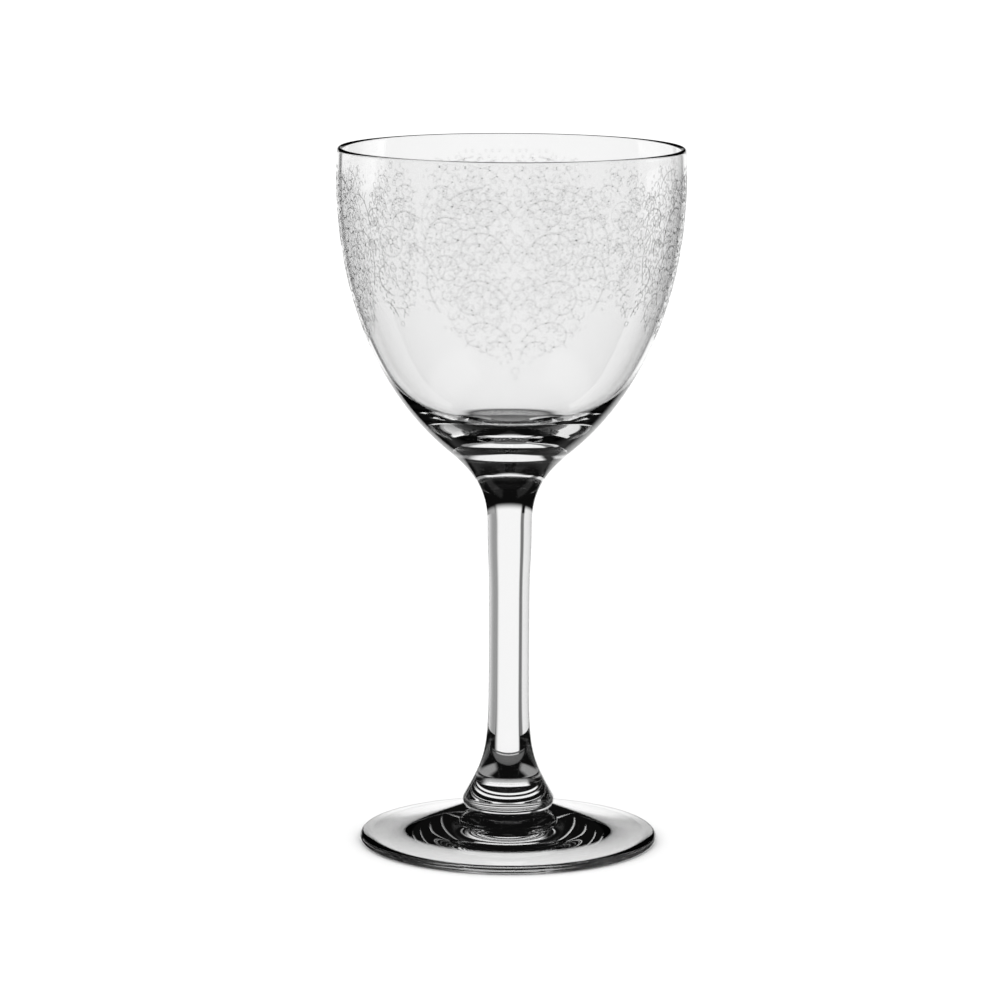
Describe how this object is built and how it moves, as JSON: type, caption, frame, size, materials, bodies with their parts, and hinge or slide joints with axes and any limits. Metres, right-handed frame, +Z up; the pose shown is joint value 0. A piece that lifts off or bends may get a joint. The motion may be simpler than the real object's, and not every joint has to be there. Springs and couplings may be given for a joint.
{
  "type": "nick and nora glass",
  "caption": "Stemmed cocktail glass: deep thin bowl that draws in at the rim, solid stem flared at both ends, round foot on a flat ring.",
  "frame": {"origin": "on the table, under the middle of the foot", "axes": "+Z up along the axis of the stem and bowl; the glass is round, so +X and +Y are free"},
  "size_m": [0.0716, 0.0716, 0.145],
  "materials": {
    "clear_glass": "polished",
    "etched_frost": "frosted"
  },
  "bodies": {
    "root": {"bowl": "clear_glass", "stem": "clear_glass", "foot": "clear_glass"}
  },
  "joints": []
}
